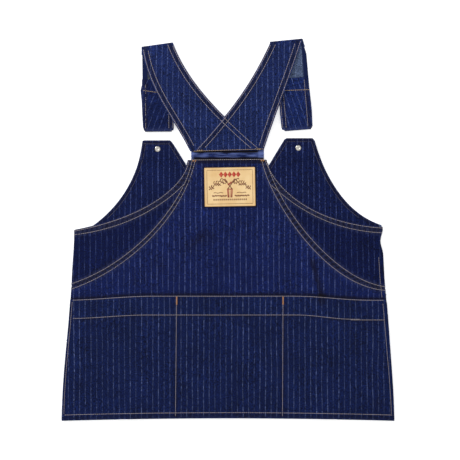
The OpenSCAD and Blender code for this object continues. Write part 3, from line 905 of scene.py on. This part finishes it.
wire, slot_bend, buckle_length = 1.0, 4.2, 42.0
slot_end = buckle_length - slot_bend - wire
bar_half, low = 22.9, wire - bar_height
half_loop = [
    (0, 0, 0), (bar_half - 5, 0, 0), (bar_half - 2, 0, 0), (bar_half - 0.5, 0.5, 0), (bar_half, 2, -0.1),
    (bar_half, 9, low), (bar_half - 1, 13, low),
    (slot_bend + 1.5, slot_end - 9, low), (slot_bend, slot_end - 5, low)]
half_loop += [(slot_bend * math.cos(a), slot_end + slot_bend * math.sin(a), low)
              for a in (math.radians(15 * k) for k in range(7))]
for side, (centre, across, up) in end_frames.items():
    loop = half_loop + [(-x, y, z) for x, y, z in half_loop[-2:0:-1]]
    bend = bpy.data.curves.new(f"buckle_{side}_bend", "CURVE")
    bend.dimensions = "3D"
    bend.bevel_depth = wire
    bend.bevel_resolution = 4
    line = bend.splines.new("POLY")
    line.points.add(len(loop) - 1)
    line.use_cyclic_u = True
    for spline_point, (x, y, z) in zip(line.points, loop):
        spot = centre + across * x + up * y
        spline_point.co = (spot.x, spot.y, bar_height + z, 1)
    shape = bpy.data.objects.new(f"buckle_{side}_shape", bend)
    bm = bmesh.new()
    bm.from_mesh(shape.to_mesh())
    bpy.data.objects.remove(shape)
    bmesh.ops.remove_doubles(bm, verts=bm.verts, dist=0.01)
    bmesh.ops.recalc_face_normals(bm, faces=bm.faces)
    make_piece(f"buckle_{side}_wire", bm, [nickel], f"{side}_buckle", [f"buckle_{side}"])

# ---- Tack buttons ----
# Nickel-plated buttons, one on each tab: a cap on the face of the cloth, and on the inside the
# dimpled head of the nail that is driven through both layers into it.

head_profile = [
    (0, 0.35), (0.9, 0.3), (1.3, 0.75), (2.0, 1.0), (3.2, 1.0), (4.2, 0.65), (4.6, 0.15), (4.5, 0.0)]
cap_profile = [
    (0, 0.0), (5.5, 0.05), (7.2, 0.35), (7.9, 1.0), (7.9, 1.4), (7.4, 1.6), (3.5, 1.7), (3.3, 2.95), (0, 2.95)]


def turned(profile, steps, place):
    """A round piece with that profile, given as radius and height, stood at its place."""
    bm = bmesh.new()
    chain = [bm.verts.new((r, 0, z)) for r, z in profile]
    rim = [bm.edges.new(pair) for pair in zip(chain, chain[1:])]
    bmesh.ops.spin(bm, geom=chain + rim, cent=(0, 0, 0), axis=(0, 0, 1), angle=math.tau,
                   steps=steps, use_merge=True)
    bmesh.ops.remove_doubles(bm, verts=bm.verts, dist=0.01)
    bmesh.ops.holes_fill(bm, edges=bm.edges, sides=64)
    bmesh.ops.recalc_face_normals(bm, faces=bm.faces)
    bmesh.ops.translate(bm, vec=place, verts=bm.verts)
    return bm


for side, x, y in (("left", -button_x, button_y), ("right", button_x, button_y + 1.8)):
    head = turned(head_profile, 32, (x, y, facing_height(x, y) - 0.1))
    make_piece(f"tack_{side}_head", head, [nickel], "apron_body", [f"tack_{side}"])
    cap = turned(cap_profile, 40, (x, y, 0))
    make_piece(f"tab_button_{side}_cap", cap, [nickel], "apron_body", [f"tab_button_{side}"])

# ---- Elastic casing ----
# A tube of faded denim over wide elastic, sewn in between the back's top edge and the yoke. The
# elastic draws it together, so it is gathered across its width, with highlights painted pale on the ridges.

casing_low, casing_high = 416.0, yoke_line + 3.5
casing_outline = [(-59.0, casing_low), (57.5, casing_low), (57.5, casing_high), (-59.0, casing_high)]
casing = cut_cloth(casing_outline, 1.2)
casing_area = flat_area(casing)


def casing_height(x, y):
    """The casing's face: it bulges between the back's top edge and the yoke, with gathers across it."""
    share = (y - 420.4) / 9.6
    puff = 1.3 * max(0.0, 1 - (2 * share - 1) ** 2) ** 0.6 if 0 < share < 1 else 0
    gather = 0.3 * noise.noise(Vector((x / 5, y / 16, 3.0))) + 0.3 * noise.noise(Vector((x / 14, y / 3, 8.0)))
    return 2.55 + puff + gather * smooth(puff, 0, 1)


def casing_highlight(x, y):
    """Painted highlights: paler on the ridges, palest at the right-hand end and pale at the left one."""
    ridge = 0.26 + 1.3 * noise.noise(Vector((x / 16, y / 1.5, 5.0)))
    end = 0.9 * smooth(x, 46, 52) * smooth(y, 420, 422) + 0.6 * smooth(-x, 53, 57)
    return ridge * smooth(y, 420.4, 422.2) * smooth(429.6 - y, 0, 1.4) + end


for v in casing.verts:
    v.co.z = casing_height(v.co.x, v.co.y)
mark(casing, "wear_and_highlight", casing_highlight)
# Painted shadow along the casing's lower edge, by the back's top, and along its upper edge, under the yoke.
mark(casing, "seam", lambda x, y: smooth(422.2 - y, 0, 1.4) + smooth(y, 427.4, 428.8))
# Its pale second colour is the painted highlight on the ridges.
casing_denim = denim("faded_twill_casing", "#142252", "#3B4A80", gap=40.0, strength=0.3, wear_and_highlight="#5A69A0")
casing_piece = make_piece(
    "elastic_casing_cloth", casing, [casing_denim], None, ["elastic_insert"])
thicken(casing_piece, thickness=0.8, inside=0)
fixed_mesh(casing_piece)
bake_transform(casing_piece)

# ---- Leather patch ----
# Vegetable-tanned leather, 1.6 mm thick, over the top of the back. It carries a printed border,
# a row of diamonds, and two brushes crossed in a jar between sprays of leaves.

hide, tree, shader = new_material("vegetable_tanned_leather")
spot = add(tree, "TexCoord").outputs["Object"]
place = add(tree, "Mapping", {"Vector": spot, "Scale": (1000,) * 3}).outputs["Vector"]
cloud = add(tree, "TexNoise", {"Vector": place, "Scale": 0.05, "Detail": 4.0}).outputs["Fac"]
pore = add(tree, "TexVoronoi", {"Vector": place, "Scale": 1.1}).outputs["Distance"]
tone = add(tree, "MapRange", {"Value": cloud, "From Min": 0.3, "From Max": 0.7}).outputs["Result"]
tanned = add(tree, "Mix", {0: tone, 6: colour("#E2BA7E"), 7: colour("#F2D29C")}, data_type="RGBA").outputs[2]
wear_and_highlight = add(tree, "Attribute", attribute_name="wear_and_highlight").outputs["Fac"]
tanned = add(tree, "Mix", {0: wear_and_highlight, 6: tanned, 7: colour("#C08A4C")}, data_type="RGBA").outputs[2]
tree.links.new(tanned, shader.inputs["Base Color"])
bump = add(tree, "Bump", {"Height": pore, "Strength": 0.25, "Distance": 0.0003}).outputs["Normal"]
tree.links.new(bump, shader.inputs["Normal"])
shader.inputs["Roughness"].default_value = 0.55
shader.inputs["Coat Weight"].default_value = 0.06

patch_low, patch_high = (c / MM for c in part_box("leather_patch"))
patch_centre = (patch_low + patch_high) / 2 - Vector((0, hem_y, 0))
patch_turn = math.radians(1.0)
patch_half = (40.5, 31.0)


def patch_spot(x, y, lift=0.0):
    """A point on the patch, given from its middle, as a point on the garment."""
    gx = patch_centre.x + x * math.cos(patch_turn) - y * math.sin(patch_turn)
    gy = patch_centre.y + x * math.sin(patch_turn) + y * math.cos(patch_turn)
    curl = 0.5 * (abs(x) / patch_half[0]) ** 6 + 0.4 * (abs(y) / patch_half[1]) ** 6
    return Vector((gx, gy, lie(gx, gy) + 5.1 + curl + lift))


patch_outline = [
    (-40.5, -30.2), (-39.7, -31), (39.7, -31), (40.5, -30.2),
    (40.5, 30.2), (39.7, 31), (-39.7, 31), (-40.5, 30.2)]
patch = cut_cloth(patch_outline, 2.0)
mark(patch, "wear_and_highlight", lambda x, y: 0.7 * bell(min(40.5 - abs(x), 31 - abs(y)), 0.7))
for v in patch.verts:
    v.co = patch_spot(v.co.x, v.co.y)
patch_piece = make_piece("leather_patch_hide", patch, [hide], "apron_body", ["leather_patch"])
thicken(patch_piece, thickness=1.6, edge=0.3, inside=0)


def ink_line(bm, points, width):
    """A printed line of that width through some points on the patch, laid just above the leather."""
    for (ax, ay), (bx, by) in zip(points, points[1:]):
        length = math.hypot(bx - ax, by - ay)
        nx, ny = -(by - ay) / length * width / 2, (bx - ax) / length * width / 2
        corners = [(ax - nx, ay - ny), (bx - nx, by - ny), (bx + nx, by + ny), (ax + nx, ay + ny)]
        bm.faces.new([bm.verts.new(patch_spot(x, y, 0.06)) for x, y in corners])


def printed(name, code, strokes):
    """A printed pattern of strokes, each some points and a width, in one ink that has faded in places."""
    ink, tree, shader = new_material(name)
    spot = add(tree, "TexCoord").outputs["Object"]
    fade = add(tree, "TexNoise", {"Vector": spot, "Scale": 900.0}).outputs["Fac"]
    fade = add(tree, "MapRange", {
        "Value": fade, "From Min": 0.4, "From Max": 0.8, "To Max": 0.7}).outputs["Result"]
    tint = add(tree, "Mix", {0: fade, 6: colour(code), 7: colour("#C99468")}, data_type="RGBA").outputs[2]
    tree.links.new(tint, shader.inputs["Base Color"])
    shader.inputs["Roughness"].default_value = 0.6
    bm = bmesh.new()
    for points, width in strokes:
        ink_line(bm, points, width)
    piece = make_piece(name, bm, [ink], "apron_body")
    thicken(piece, thickness=0.05, edge=0.01, inside=0)
    piece.modifiers.remove(piece.modifiers["rounding"])
    return piece


border = [(-36.5, -27), (36.5, -27), (36.5, 27), (-36.5, 27), (-36.5, -27)]
red_strokes = []
for x in (-13.6, -6.8, 0, 6.8, 13.6):
    for dy in range(-4, 5):
        r = 3.5 * (1 - abs(dy) / 4.8)
        red_strokes.append(([(x - r, 19.8 + dy), (x + r, 19.8 + dy)], 1.05))
brown_strokes = [([a, b], 0.5) for a, b in zip(border, border[1:])]
# Two crossed brushes standing in a jar, with a spray of leaves on each side.
for s in (-1, 1):
    brown_strokes.append(([(s * 4, -4), (-s * 5, 8)], 1.5))
    brown_strokes.append(([(-s * 4.6, 7), (-s * 8.5, 12.5)], 3.2))
    for k in range(7):
        x, y, r = s * (9 + 3.7 * k), 9.5 - 0.25 * k * k + 1.8 * math.sin(2.1 * k), 2.4 - 0.12 * k
        turns = [math.radians(50 * i + 25 * k) for i in range(6)]
        leaf = [(x + r * math.cos(a), y + 1.25 * r * math.sin(a)) for a in turns]
        brown_strokes.append((leaf, 1.25))
        brown_strokes.append(([(x - s * 2.5, y - 4.5), (x + s * 0.5, y - 3.0), (x + s * 2.0, y - 5.0)], 1.3))
    ground = [(s * 11, -9.5), (s * 15, -8.7), (s * 19, -9.8), (s * 24, -8.8), (s * 26, -9.4)]
    brown_strokes.append((ground, 1.0))
jar_strokes = [([(x * 0.8, -3.5), (x * 0.62, -17)], 1.5) for x in (-5, -2.6, 2.2, 4.8)]
jar_strokes += [([(-4.5, -3.5), (4.5, -3.5)], 1.6), ([(-3, 3), (3, 8)], 2.6)]
for k in range(15):
    x = -28.5 + 4.0 * k
    if abs(x) > 5:
        dash = [(x, -14.6 + 0.8 * math.sin(k)), (x + 1.8, -13.4), (x + 3.4, -15.0 - 0.6 * math.cos(2 * k))]
        brown_strokes.append((dash, 2.0))
for k in range(17):
    brown_strokes.append(([(-26.5 + 3.2 * k, -20.2), (-24.6 + 3.2 * k, -20.2)], 2.6))
printed("patch_print_red", "#C01A0C", red_strokes)
printed("patch_print_jar", "#A0402E", jar_strokes)
printed("patch_print_brown", "#6A3418", brown_strokes)

# ---- Stitching ----
# Lock stitches in tan thread, 3.4 mm apart, each a short bead that sinks in at its ends. Bar
# tacks and the yoke's row are in a brighter gold thread.


def thread(name, code, shade):
    """Spun polyester thread: a dull sheen, and a little darker between its plies."""
    material, tree, shader = new_material(name)
    spot = add(tree, "TexCoord").outputs["Object"]
    ply = add(tree, "TexNoise", {"Vector": spot, "Scale": 1500.0, "Detail": 2.0}).outputs["Fac"]
    tint = add(tree, "Mix", {0: ply, 6: colour(code), 7: colour(shade)}, data_type="RGBA").outputs[2]
    tree.links.new(tint, shader.inputs["Base Color"])
    shader.inputs["Roughness"].default_value = 0.6
    shader.inputs["Sheen Weight"].default_value = 0.2
    return material


tan_thread = thread("tan_thread", "#BCB0B0", "#877D80")
faded_thread = thread("faded_thread", "#625E6C", "#4B4856")
gold_thread = thread("gold_thread", "#BCA27C", "#887256")
tack_thread = thread("bar_tack_thread", "#D08A3E", "#96652F")
stitch_pitch, stitch_length, stitch_width = 3.4, 4.2, 0.8


def sew(bm, line, height, width=stitch_width, pitch=stitch_pitch, length=stitch_length):
    """A row of stitches along a line, on a surface of that height."""
    left_over = pitch / 2
    for a, b in zip(line, line[1:]):
        a, b = Vector(a), Vector(b)
        run = (b - a).length
        while left_over < run:
            spot = a.lerp(b, left_over / run)
            z = height(spot.x, spot.y)
            heading = (b - a).normalized()
            ahead = spot + heading * length / 2
            slope = math.atan2(height(ahead.x, ahead.y) - z, length / 2)
            turn = Matrix.Rotation(math.atan2(heading.y, heading.x), 4, "Z")
            turn = turn @ Matrix.Rotation(-slope * 0.6, 4, "Y")
            bead = Matrix.Diagonal((length / 2, width / 2, 0.3, 1))
            place = Matrix.Translation((spot.x, spot.y, z + 0.22)) @ turn @ bead
            bmesh.ops.create_icosphere(bm, subdivisions=1, radius=1.0, matrix=place)
            left_over += pitch
        left_over -= run


def stitching(name, rows, height, body, material=tan_thread, **settings):
    """Some rows of stitches on one surface, as one piece."""
    bm = bmesh.new()
    for row in rows:
        sew(bm, row, height, **settings)
    return make_piece(name, bm, [material], body)


def clip(line, keep):
    return [p for p in line if keep(*p)]


stitching("stitching_armholes", rows_right[:2] + rows_left[:2], back_height, "apron_body")
stitching("stitching_back_seams", rows_right[2:] + rows_left[2:], back_height, "apron_body")
across = [(x, 0) for x in range(-260, 261, 4)]
# The second row along the mouth is overlapped by a restarted one towards the right.
stitching("stitching_pockets", [
    [(x, mouth(x) - 0.9) for x, _ in across if -249 < x < 251],
    [(x, mouth_row(x)) for x, _ in across if -251 < x < 216],
    [(x, mouth_row(x) - 1.1) for x, _ in across if 192 < x < 254],
    clip(beside(hem_line, 9.3), lambda x, y: abs(x) < 262)], pocket_height, "apron_body")
stitching("stitching_divisions", [[(x0, mouth(x0) - 2), (x1, 8)] for x0, x1 in divisions],
          pocket_height, "apron_body", width=0.7)
for side, mirror in (("left", -1), ("right", 1)):
    # One faint row round each tab, drawn in towards the middle of the cloth.
    line = beside(top_edges[side], 5.8 * mirror)
    line = clip(line, lambda x, y: y > 322 and (y > 400 or abs(x) > 100))
    stitching(f"stitching_tab_{side}", [line], facing_height, "apron_body", material=faded_thread, width=0.55)
# One faint row down each side: over the pocket panel on the left, and from higher up on the right.
right_side_row = [(x - 4.5 - 3.0 * y / 250, y) for x, y in side_line("right", 10, 262)]
left_side_row = [(x + 3.5, y) for x, y in side_line("left", 10, 190)]
stitching("stitching_sides", [clip(right_side_row, lambda x, y: y < 188), left_side_row],
          pocket_height, "apron_body", width=0.6)
stitching("stitching_side_back", [clip(right_side_row, lambda x, y: y > 196)],
          back_height, "apron_body", width=0.6)


def covered(x, y):
    """Whether the right strap lies over that point of the left one."""
    loop = strap_edges["right"][0] + strap_edges["right"][1]
    inside = False
    for (ax, ay), (bx, by) in zip(loop, loop[1:] + loop[:1]):
        if (ay > y) != (by > y) and x < ax + (bx - ax) * (y - ay) / (by - ay):
            inside = not inside
    return inside


def crossing_height(x, y):
    """The face of whichever strap lies on top."""
    return strap_heights["right" if covered(x, y) else "left"](x, y)


left_outer, left_inner = strap_edges["left"]
right_outer, right_inner = strap_edges["right"]
outer_gaps, inner_gaps = (2.0, 9.3), (2.0, 8.8)
# The left strap's inner rows go through both straps where they cross; the right one's lie on top.
left_rows = [clip(beside(left_outer, -g), lambda x, y: 437 < y < 596 and not covered(x, y)) for g in outer_gaps]
left_rows += [clip(beside(left_inner, -g), lambda x, y: 435 < y < 602) for g in inner_gaps]
right_rows = [clip(beside(right_outer, g), lambda x, y: 437 < y < 608) for g in outer_gaps]
right_rows += [clip(beside(right_inner, g), lambda x, y: 434 < y < 603) for g in inner_gaps]
stitching("stitching_strap_left", left_rows, crossing_height, "harness")
stitching("stitching_strap_right", right_rows, strap_heights["right"], "harness")
yoke_row = [(x, 431.3 + 3.4 * (x + 49) / 105) for x in range(-55, 57, 3)]
stitching("stitching_yoke", [yoke_row], strap_heights["right"], "harness", material=gold_thread, width=0.9)
top_row = [(x, back_top - 0.9 + 0.9 * (x + 58) / 116) for x in range(-58, 58, 3)]
stitching("stitching_back_top", [top_row], lambda x, y: back_height(x, y) + 0.1, "apron_body", width=0.9)
end_columns = {"left": (-20.0, 17.0, 23.5), "right": (-23.8, -18.3, 16.5)}
turn_up_rows = {"left": ((-138.6, 529), (-108.5, 524.5)), "right": ((92.5, 528.5), (130.4, 529.7))}
for side, (centre, across_end, up_end) in end_frames.items():
    def end_spot(x, s, centre=centre, across_end=across_end, up_end=up_end):
        """A point on a turned-up end as a point on the garment."""
        return (centre + across_end * x + up_end * s).to_tuple()

    def end_height(x, y, centre=centre, up_end=up_end):
        """The face of a turned-up end, at the crests between its rows."""
        return flap_level((Vector((x, y)) - centre).dot(up_end)) + cloth_thickness + 0.45

    # Rows along the hems of the turned-up part, and one across it in gold.
    rows = [[end_spot(x, y) for y in range(3, 80, 3)] for x in end_columns[side]]
    stitching(f"stitching_end_{side}", rows, end_height, f"{side}_drop", width=0.65)
    a, b = (Vector(end) for end in turn_up_rows[side])
    crossing = [a.lerp(b, t / 12).to_tuple() for t in range(-2, 15)]
    crossing = [p for p in crossing if abs((Vector(p) - centre).dot(across_end)) < 25]
    stitching(f"stitching_turn_up_{side}", [crossing], end_height, f"{side}_drop",
              material=gold_thread, width=1.0)


def sew_bar(bm, x0, x1, y, height, width):
    """One satin stitch of a bar tack: short stitches that run into each other."""
    sew(bm, [(x0, y), (x1, y)], height, width=width, pitch=3.2, length=3.0)


yoke_bars = bmesh.new()
for x0, x1, y in ((-50, -41, 432.4), (46, 54, 434.6)):
    for k in range(3):
        sew_bar(yoke_bars, x0, x1, y + 0.7 * k - 1, strap_heights["right"], 0.7)
make_piece("yoke_bar_tacks_thread", yoke_bars, [gold_thread], "harness")
bars = bmesh.new()
for x0, _ in divisions:
    for k in range(16):
        sew_bar(bars, x0 - 1.6, x0 + 1.6, mouth(x0) - 2 - 0.8 * k, pocket_height, 0.9)
for x0, x1, y in ((-57, -51, 416.0), (52, 57, 416.6)):
    for k in range(3):
        sew_bar(bars, x0, x1, y + 0.7 * k - 1, back_height, 0.9)
make_piece("bar_tacks_thread", bars, [tack_thread], "apron_body", ["pocket_bar_tacks"])
